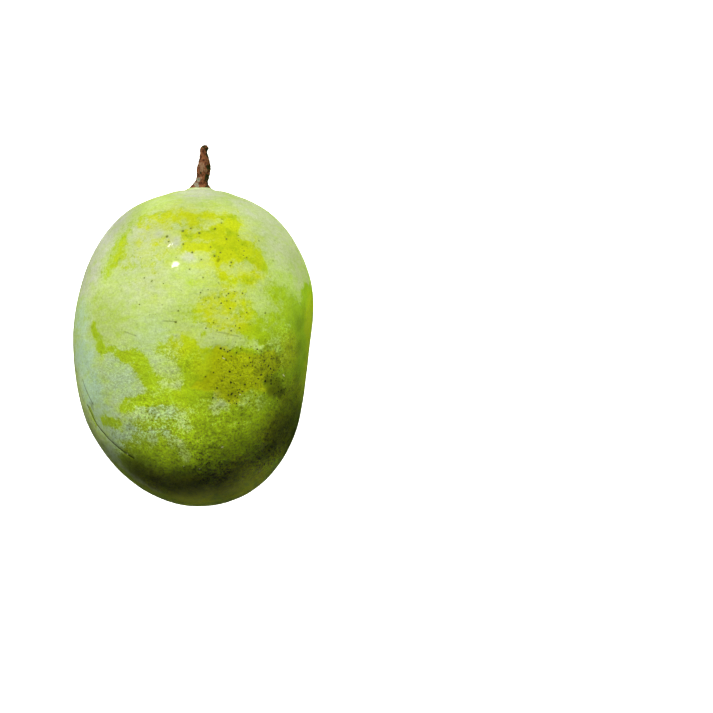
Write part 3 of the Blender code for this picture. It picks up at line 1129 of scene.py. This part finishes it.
def sooty_speck_crust():
    """Sooty mould and dried sap, crusted on the skin in dots.

    They are matte and crumbly, and the corky nicks among them are pale and dry.
    """
    material, tree, shader = new_material("speck_crust_dried")
    field = marks_read(tree, ("soot", "cork"))
    coats = ((field["soot"], rgba(linear("#242B08"))), (field["cork"], rgba(linear("#DCE0A8"))))
    crumbs = grown_pattern(tree, place_in_mm(tree), CRUMB_MM, 2.0, 0.5)
    shade = add_node(tree, "MapRange", {"Value": crumbs, "To Min": 0.5, "To Max": 1.5})
    feed(tree, shader, {
        "Base Color": shaded(tree, coated(tree, rgba(linear("#6E7A2C")), coats), (shade,)),
        "Normal": bumped(tree, ((crumbs, 0.5, 0.05 * MM, False),)),
        "Roughness": 0.8,
    })
    return material


def add_speck(crust, tree, place, sizes, chance, slope=0.0, soot=0.0, cork=0.0):
    """One crusted dot on the skin: a low irregular dome of two rings and a top.

    Sizes are half its length and half its width in mm.
    """
    near, normal, _, _ = tree.find_nearest(Vector(place) * MM)
    across = Vector((math.cos(slope), math.sin(slope), 0))
    across = (across - normal * across.dot(normal)).normalized()
    up = normal.cross(across)
    cork_layer, soot_layer = crust.verts.layers.float["cork"], crust.verts.layers.float["soot"]

    def skin_vert(right, ahead, height):
        flat, flat_normal, _, _ = tree.find_nearest(near + (across * right + up * ahead) * MM)
        vert = crust.verts.new(flat + flat_normal * height * MM)
        vert[cork_layer], vert[soot_layer] = cork, soot
        return vert

    wobble = [chance.uniform(*SPECK_WOBBLE) for _ in range(SPECK_SIDES)]
    rings = []
    for share, height in ((1.0, -SPECK_SINK_MM), (SPECK_RING_SHARE, SPECK_HEIGHT_MM)):
        ring = []
        for side, uneven in enumerate(wobble):
            turn = math.tau * side / SPECK_SIDES
            right = sizes[0] * share * uneven * math.cos(turn)
            ahead = sizes[1] * share * uneven * math.sin(turn)
            ring.append(skin_vert(right, ahead, height))
        rings.append(ring)
    top = skin_vert(0, 0, SPECK_HEIGHT_MM * SPECK_TOP_SHARE)
    join_rings(crust, *rings)
    for side, vert in enumerate(rings[1]):
        crust.faces.new((vert, rings[1][(side + 1) % SPECK_SIDES], top))


def add_seen_specks(crust, tree, chance):
    """The specks and nicks that the camera sees."""
    for specks, most in ((CROWN_SPECKS, CROWN_SOOT), (STAIN_SPECKS, STAIN_SOOT)):
        for x, y, radius in specks:
            soot = most * chance.uniform(*SPECK_SOOT_SHARES)
            add_speck(crust, tree, on_skin(tree, x, y), (radius, radius), chance, soot=soot)
    for x, y, reach, count, most in PEPPERED:
        for _ in range(count):
            place = on_skin(tree, x + reach * chance.uniform(-1, 1), y + reach * chance.uniform(-1, 1))
            radius = chance.uniform(*PEPPER_RADII_MM)
            soot = most * chance.uniform(*PEPPER_SOOT_SHARES)
            add_speck(crust, tree, place, (radius, radius), chance, soot=soot)
    for x, y, half_length, half_width, slope in NICKS:
        sizes = (half_length, half_width)
        add_speck(crust, tree, on_skin(tree, x, y), sizes, chance, slope=math.radians(slope), cork=1.0)


def add_hidden_specks(crust, tree, chance):
    """Specks on the lower cheek and the flanks, drawn by chance, and the dry dot on the scar at the tip."""
    placed = 0
    while placed < HIDDEN_SPECKS:
        place = under_skin(tree, chance.uniform(*HIDDEN_SPECK_X), chance.uniform(*HIDDEN_SPECK_Y))
        if place is None:
            continue
        radius = chance.uniform(*HIDDEN_SPECK_RADII)
        soot = chance.uniform(*HIDDEN_SPECK_SOOT)
        add_speck(crust, tree, place, (radius, radius), chance, soot=soot)
        placed += 1
    add_speck(crust, tree, SCAR_PLACE_MM, SCAR_DOT_MM, chance, soot=SCAR_SOOT, cork=SCAR_CORK)


class MANGO_OT_scatter_specks(bpy.types.Operator):
    """Crust the skin with sooty specks and corky nicks: the seen ones as listed, the hidden ones by chance"""

    bl_idname = "mango.scatter_specks"
    bl_label = "Scatter Specks"

    def execute(self, context):
        skin = bpy.data.objects.get("mango_skin")
        if skin is None:
            raise RuntimeError("grow the skin before its specks")
        tree = own_tree(skin.data)
        chance = random.Random(CHANCE_SEED)
        crust = bmesh.new()
        crust.verts.layers.float.new("cork")
        crust.verts.layers.float.new("soot")
        add_seen_specks(crust, tree, chance)
        add_hidden_specks(crust, tree, chance)
        mesh = as_mesh("skin_specks", crust)
        mesh.transform(OWN)
        specks = add_piece(context, "skin_specks", mesh, sooty_speck_crust())
        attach(specks, BODY)
        return {"FINISHED"}


# The stalk's mesh, and the relief of its bark: raised scars across it, as heights above the seat in mm.
STALK_SIDES = 72
STALK_ROWS = 120
SECTION_SPREAD_MM = 0.1
FOOT_SINK_MM = 0.9
BAND_HEIGHTS_MM = (2.6, 4.1, 5.4, 6.8, 8.6, 10.2)
BAND_LIFT_MM = 0.14
BAND_WIDTH_MM = 0.28
STALK_FLATNESS = 0.95

# The broken end: how ragged its edge is, then rings in from the edge, each as a share of its radius and a
# height above it in mm, and how jagged they are. The knob beside it: place, reach and height.
TIP_RAGGED_MM = 0.8
TIP_SLICE = 4.0
SPLINTER_RINGS = ((0.72, -0.25), (0.42, 0.15), (0.16, -0.3))
SPLINTER_JAG_MM = 0.35
KNOB_PLACE_MM = (2.5, 63.5, 1.2)
KNOB_REACH_MM = 0.7
KNOB_HEIGHT_MM = 0.45

# The bark's noises: lumps round the stalk, lumps to the mm along it, and a shift. Then the roughness and the
# spread of the fractal ones, and the octaves and the share of the relief of each of these.
FURROWS = (3.2, 0.55, 0.0)
CRUMBS = (6.0, 3.0, 7.0)
SCAR_BREAKS = (1.5, 1.0, 3.0)
TIP_RAGS = (2.5, 1.0, 0.0)
SPLINTERS = (4.0, 9.0, 0.0)
FRACTAL = (0.9, 2.0)
FURROW_OCTAVES, CRUMB_OCTAVES = 4, 3
FURROW_SHARE, CRUMB_SHARE = 1.3, 0.7

# How high the scars stand where their noise is 0, and how much the noise adds, as shares of their lift.
SCAR_SHARE, SCAR_SWAY = 0.5, 0.8

# Marks on the bark as discs of x, y and radius in the plane of marks.
MOULD = (
    (3.0, 57.9, 1.0), (2.4, 54.6, 0.9), (2.4, 53.8, 0.8), (2.7, 61.6, 0.9), (2.6, 63.2, 0.9),
    (1.4, 64.3, 0.5), (0.3, 55.9, 0.4), (2.3, 51.7, 0.4),
)
WORN_BARK = ((0.7, 58.3, 1.1), (0.6, 57.0, 0.9), (1.9, 56.6, 0.6), (0.3, 54.2, 0.6))
LICHEN = ((-0.5, 53.6, 0.7), (-1.2, 52.4, 0.7), (-0.8, 51.4, 0.8))


def stalk_sections():
    """The CAD stalk's sections in the fruit's own axes: heights, middles and half-widths in mm."""
    back = OWN.inverted()
    points = np.array([back @ vert.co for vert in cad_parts[STALK_NODE].data.vertices]) / MM
    rows = []
    for height in np.unique(np.round(points[:, 1], 1)):
        ring = points[np.abs(points[:, 1] - height) < SECTION_SPREAD_MM]
        low, high = ring.min(0), ring.max(0)
        rows.append((height, (low[0] + high[0]) / 2, (low[2] + high[2]) / 2, (high[0] - low[0]) / 2))
    return np.array(rows)


def through(stations, values, at):
    """A smooth curve through values at stations, read at other places."""
    slopes = np.gradient(values, stations)
    index = np.clip(np.searchsorted(stations, at) - 1, 0, len(stations) - 2)
    span = stations[index + 1] - stations[index]
    part = (at - stations[index]) / span
    start, end = values[index], values[index + 1]
    rise, fall = slopes[index] * span, slopes[index + 1] * span
    return (
        (2 * part**3 - 3 * part**2 + 1) * start
        + (part**3 - 2 * part**2 + part) * rise
        + (3 * part**2 - 2 * part**3) * end
        + (part**3 - part**2) * fall
    )


def around_stalk():
    """The ways out from the stalk's axis, all round."""
    turns = np.arange(STALK_SIDES) * math.tau / STALK_SIDES
    return [Vector((math.cos(turn), 0, math.sin(turn))) for turn in turns]


def bark_place(out, height, lumps):
    """Where a point of the stalk is in one of the bark's noises."""
    round_it, along_it, shift = lumps
    return Vector((out.x * round_it, height * along_it, out.z * round_it + shift))


def bark_lift(out, height, above_seat, depth):
    """How far the bark stands out from the stalk's section: furrows along it, crumbs, and scars across it."""
    furrow = noise.fractal(bark_place(out, height, FURROWS), *FRACTAL, FURROW_OCTAVES)
    crumb = noise.fractal(bark_place(out, height, CRUMBS), *FRACTAL, CRUMB_OCTAVES)
    scar = sum(math.exp(-(((above_seat - place) / BAND_WIDTH_MM) ** 2)) for place in BAND_HEIGHTS_MM)
    scar *= SCAR_SHARE + SCAR_SWAY * noise.noise(bark_place(out, height, SCAR_BREAKS))
    return depth * (furrow * FURROW_SHARE + crumb * CRUMB_SHARE) + BAND_LIFT_MM * scar


def bark_rings(shape, depth):
    """The stalk's rings from its foot, sunk in the skin, to its ragged upper edge.

    Returns them, and the middle and half-width of the last one.
    """
    sections = stalk_sections()
    foot, tip = sections[0, 0], sections[-1, 0]
    heights = np.linspace(foot - FOOT_SINK_MM, tip, STALK_ROWS)
    inside = np.clip(heights, foot, tip)
    middle_x, middle_z, width = [through(sections[:, 0], sections[:, part], inside) for part in (1, 2, 3)]
    rings = []
    for row, height in enumerate(heights):
        ring = []
        for out in around_stalk():
            reach = width[row] + bark_lift(out, height, height - foot, depth)
            across, up = middle_x[row] + out.x * reach, middle_z[row] + out.z * reach * STALK_FLATNESS
            ring.append(shape.verts.new((across, height, up)))
        rings.append(ring)
    for vert, out in zip(rings[-1], around_stalk()):
        vert.co.y += TIP_RAGGED_MM * noise.noise(bark_place(out, TIP_SLICE, TIP_RAGS))
    return rings, Vector((middle_x[-1], tip, middle_z[-1])), width[-1]


def splinter_rings(shape, middle, width):
    """Rings that fill the broken end, up and down like splinters."""
    rings = []
    for share, rise in SPLINTER_RINGS:
        ring = []
        for out in around_stalk():
            jag = SPLINTER_JAG_MM * noise.noise(bark_place(out, share, SPLINTERS))
            ring.append(shape.verts.new(middle + out * width * share + Vector((0, rise + jag, 0))))
        rings.append(ring)
    return rings


def push_knob(shape, middle):
    """Swells the bark beside the broken end in a small knob."""
    for vert in shape.verts:
        away = (vert.co - Vector(KNOB_PLACE_MM)).length
        if away < KNOB_REACH_MM * 2:
            push = (vert.co - Vector((middle.x, vert.co.y, middle.z))).normalized()
            vert.co += push * KNOB_HEIGHT_MM * math.exp(-((away / KNOB_REACH_MM) ** 2))


def stalk_mesh(settings):
    """The stalk as rings from its foot to its broken end, with furrows, scars and a ragged tip."""
    shape = bmesh.new()
    rings, middle, width = bark_rings(shape, settings.bark_relief / MM)
    rings += splinter_rings(shape, middle, width)
    for lower, upper in zip(rings, rings[1:]):
        join_rings(shape, lower, upper)
    shape.faces.new(rings[0])
    shape.faces.new(rings[-1])
    push_knob(shape, middle)
    bmesh.ops.recalc_face_normals(shape, faces=shape.faces[:])
    for vert in shape.verts:
        vert.co *= MM
    return as_mesh("mango_stalk", shape)


# Marks under the stalk, drawn by chance: how strong, where the noise starts and fills them, their size, and
# how high they reach. Then where the seen ones start and are full, as shares of their radius, and how low
# they reach.
BEHIND_STRENGTH = 0.6
BEHIND_EDGE = (0.15, 0.45)
BEHIND_MM = 1.6
BEHIND_TOP_MM = 1.0
BARK_MARK_EDGE = (1.25, 0.6)
BARK_MARK_FOOT_MM = 0.4


def bark_marks(mesh):
    """Mould, worn bark and lichen on the stalk, as the camera sees them, and a little of each behind."""
    points = get_points(mesh)
    seen = seen_as(points)
    marks = {}
    for number, (name, discs) in enumerate((("mould", MOULD), ("worn", WORN_BARK), ("lichen", LICHEN))):
        lumps = noise_at(points, BEHIND_MM, BARK_SEED + number)
        field = BEHIND_STRENGTH * smooth_step(*BEHIND_EDGE, lumps) * (points[:, 2] < BEHIND_TOP_MM)
        for x, y, radius in discs:
            away = np.hypot(seen[:, 0] - x, seen[:, 1] - y) / radius
            disc = smooth_step(*BARK_MARK_EDGE, away) * (points[:, 2] > BARK_MARK_FOOT_MM)
            field = np.maximum(field, disc)
        marks[name] = field
    return marks


# The bark's fibres are 0.5 mm apart and 1.4 mm long, and its flakes are 1.1 mm across.
FIBRE_MM = 0.5
FIBRE_STRETCH = (1.0, 0.35, 1.0)
FLAKE_MM = 1.11

# What grows on the bark or is worn off it: name, colour and how much it covers.
BARK_COATS = (("worn", "#86694F", 0.8), ("lichen", "#868E78", 0.6), ("mould", "#14240A", 0.95))


def dry_stalk_bark(settings, marks):
    """Bark of a mango stalk, cut and dried in the air.

    It is matte brown, furrowed along its length, with darker scars across it, black mould in its hollows, and
    worn and lichened places that are paler.
    """
    material, tree, shader = new_material("stalk_bark_dried")
    mm = place_in_mm(tree)
    fibres = grown_pattern(tree, mm, FIBRE_MM, 4.0, 0.7, FIBRE_STRETCH)
    flakes = grown_pattern(tree, mm, FLAKE_MM, 4.0, 0.7)
    field = marks_read(tree, marks)
    coats = [(masked(tree, flakes, (), low=0.44, high=0.58), rgba(settings.dark_bark))]
    for name, code, share in BARK_COATS:
        cover = masked(tree, field[name], ((fibres, 5.0),), low=0.5, high=0.7, top=share)
        coats.append((cover, rgba(linear(code))))
    shades = {"Value": fibres, "From Min": 0.3, "From Max": 0.7, "To Min": 0.7, "To Max": 1.25}
    shade = add_node(tree, "MapRange", shades)
    feed(tree, shader, {
        "Base Color": shaded(tree, coated(tree, rgba(settings.bark), coats), (shade,)),
        "Normal": bumped(tree, ((fibres, 0.8, 0.2 * MM, False),)),
        "Roughness": 0.8,
        "Specular IOR Level": 0.3,
    })
    return material


class MANGO_OT_grow_stalk(bpy.types.Operator):
    """Grow the dry stalk on the collar, with furrowed bark, scars, mould, lichen and a broken tip"""

    bl_idname = "mango.grow_stalk"
    bl_label = "Grow Stalk"

    def execute(self, context):
        settings = context.scene.mango_stalk
        mesh = stalk_mesh(settings)
        marks = bark_marks(mesh)
        store_marks(mesh, marks)
        mesh.transform(OWN)
        stalk = add_piece(context, "mango_stalk", mesh, dry_stalk_bark(settings, marks))
        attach(stalk, BODY)
        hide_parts(STALK_NODE)
        return {"FINISHED"}


# The floor: half its side, how far it is under the fruit, how much light it gives back to the fruit, and how
# much it glows to the eye. Real paper fibres are finer and wouldn't show.
FLOOR_HALF = 4.0
FLOOR_CELLS = 8
FLOOR_GAP = 0.2 * MM
FLOOR_BOUNCE = 0.5
FLOOR_GLOW = 1.0
PAPER_FIBRE_MM = 2.5


def matte_paper_floor():
    """White paper on a light table, pressed smooth and matte.

    It gives less light to the fruit than to the eye.
    """
    material, tree, shader = new_material("paper_floor_pressed")
    fibre = grown_pattern(tree, place_in_mm(tree), PAPER_FIBRE_MM, 3.0, 0.5)
    white = coated(tree, rgba(linear("#EFEFEC")), ((fibre, rgba(linear("#F6F6F4"))),))
    seen = add_node(tree, "LightPath", {}, "Is Camera Ray")
    mirrored = seen.node.outputs["Is Glossy Ray"]
    feed(tree, shader, {
        "Base Color": coated(tree, rgba((FLOOR_BOUNCE,) * 3), ((seen, white), (mirrored, (0, 0, 0, 1)))),
        "Emission Color": (1, 1, 1, 1),
        "Emission Strength": add_node(tree, "Math", {0: seen, 1: FLOOR_GLOW}, operation="MULTIPLY"),
        "Roughness": 0.9,
        "Specular IOR Level": 0.1,
    })
    return material


def add_floor(context):
    shape = bmesh.new()
    bmesh.ops.create_grid(shape, x_segments=FLOOR_CELLS, y_segments=FLOOR_CELLS, size=FLOOR_HALF)
    for vert in shape.verts:
        vert.co.z = -FLOOR_GAP
    floor = add_piece(context, "floor", as_mesh("floor", shape), matte_paper_floor())


# The room's light: how bright it is on the fruit, when it is 1 to the eye.
ROOM_LIGHT = 0.004

# The lights: direction from the fruit's middle in its own axes, distance, and both sides.
KEY_BOX = ((-0.175, 0.723, 0.669), 2.5, (0.35, 0.35))
FILL_BOX = ((-0.77, 0.44, 0.47), 2.5, (0.8, 0.8))
GREEN_CARD = ((0.9, 0.42, 0.11), 0.071, (0.06, 0.05))
UPPER_GLINT = ((-0.31, 0.615, 0.735), 0.7, (0.044, 0.034))
LOWER_GLINT = ((-0.345, 0.79, 0.51), 0.7, (0.06, 0.025))
CARD_COLOUR = "#E6FF8C"


def add_softbox(scene, name, box, power, unseen_by, colour=(1, 1, 1)):
    """A softbox that looks at the fruit's middle. The kinds of ray in unseen_by pass it by."""
    toward, distance, sides = box
    lamp = bpy.data.lights.new(name, "AREA")
    lamp.shape = "RECTANGLE"
    lamp.size, lamp.size_y = sides
    lamp.energy = power
    lamp.color = colour
    softbox = bpy.data.objects.new(name, lamp)
    place = Vector(toward).normalized() * distance
    turned = place.to_track_quat("Z", "Y").to_matrix().to_4x4()
    softbox.matrix_world = OWN @ Matrix.Translation(place) @ turned
    for rays in unseen_by:
        setattr(softbox, "visible_" + rays, False)
    scene.collection.objects.link(softbox)
    return softbox


def add_lights(scene):
    """A key light without shadow, a fill, a small green card by the right flank, and a light for each glint.

    The glints' lights give only reflections, and the other lights give none.
    """
    stage = scene.mango_stage
    key = add_softbox(scene, "key_softbox", KEY_BOX, stage.key_power, ("glossy",))
    key.data.use_shadow = False
    add_softbox(scene, "fill_softbox", FILL_BOX, stage.fill_power, ("glossy",))
    add_softbox(scene, "green_card", GREEN_CARD, stage.card_power, ("glossy", "camera"), linear(CARD_COLOUR))
    add_softbox(scene, "glint_upper", UPPER_GLINT, stage.upper_glint_power, ("diffuse",))
    add_softbox(scene, "glint_lower", LOWER_GLINT, stage.lower_glint_power, ("diffuse",))


def add_world(scene):
    """A pale room: white to the eye, and dim as a light."""
    scene.world = bpy.data.worlds.new("pale_room")
    scene.world.use_nodes = True
    tree = scene.world.node_tree
    seen = add_node(tree, "LightPath", {}, "Is Camera Ray")
    strength = add_node(tree, "MapRange", {"Value": seen, "To Min": ROOM_LIGHT, "To Max": 1.0})
    feed(tree, tree.nodes["Background"], {"Color": (1, 1, 1, 1), "Strength": strength})


def add_camera(scene):
    lens = bpy.data.cameras.new("camera")
    lens.lens = scene.mango_stage.lens
    lens.sensor_width = SENSOR_WIDTH_MM
    camera = bpy.data.objects.new("camera", lens)
    camera.matrix_world = OWN @ Matrix.Translation((*VIEW_MIDDLE, camera_distance()))
    scene.collection.objects.link(camera)
    scene.camera = camera


class MANGO_OT_light_stage(bpy.types.Operator):
    """Put the pale floor, the lights and the camera round the fruit"""

    bl_idname = "mango.light_stage"
    bl_label = "Light Stage"

    def execute(self, context):
        context.scene.view_settings.view_transform = "Standard"
        add_floor(context)
        add_world(context.scene)
        add_lights(context.scene)
        add_camera(context.scene)
        return {"FINISHED"}


SETTINGS = (MangoSkinSettings, MangoStalkSettings, MangoStageSettings)
OPERATORS = (MANGO_OT_grow_skin, MANGO_OT_scatter_specks, MANGO_OT_grow_stalk, MANGO_OT_light_stage)


class MANGO_PT_sidebar(bpy.types.Panel):
    """Lists the pieces of the mango and their settings."""

    bl_idname = "MANGO_PT_sidebar"
    bl_label = "Langra Mango"
    bl_space_type = "VIEW_3D"
    bl_region_type = "UI"
    bl_category = "Mango"

    def draw(self, context):
        scene = context.scene
        for settings in (scene.mango_skin, scene.mango_stalk, scene.mango_stage):
            box = self.layout.box()
            for name in settings.__annotations__:
                box.prop(settings, name)
        for operator in OPERATORS:
            self.layout.operator(operator.bl_idname)


CLASSES = (*SETTINGS, *OPERATORS, MANGO_PT_sidebar)


def register():
    for each in CLASSES:
        bpy.utils.register_class(each)
    bpy.types.Scene.mango_skin = bpy.props.PointerProperty(type=MangoSkinSettings)
    bpy.types.Scene.mango_stalk = bpy.props.PointerProperty(type=MangoStalkSettings)
    bpy.types.Scene.mango_stage = bpy.props.PointerProperty(type=MangoStageSettings)


def unregister():
    del bpy.types.Scene.mango_skin
    del bpy.types.Scene.mango_stalk
    del bpy.types.Scene.mango_stage
    for each in reversed(CLASSES):
        bpy.utils.unregister_class(each)


def main():
    register()
    bpy.ops.mango.grow_skin()
    bpy.ops.mango.scatter_specks()
    bpy.ops.mango.grow_stalk()
    bpy.ops.mango.light_stage()


if __name__ == "__main__":
    main()
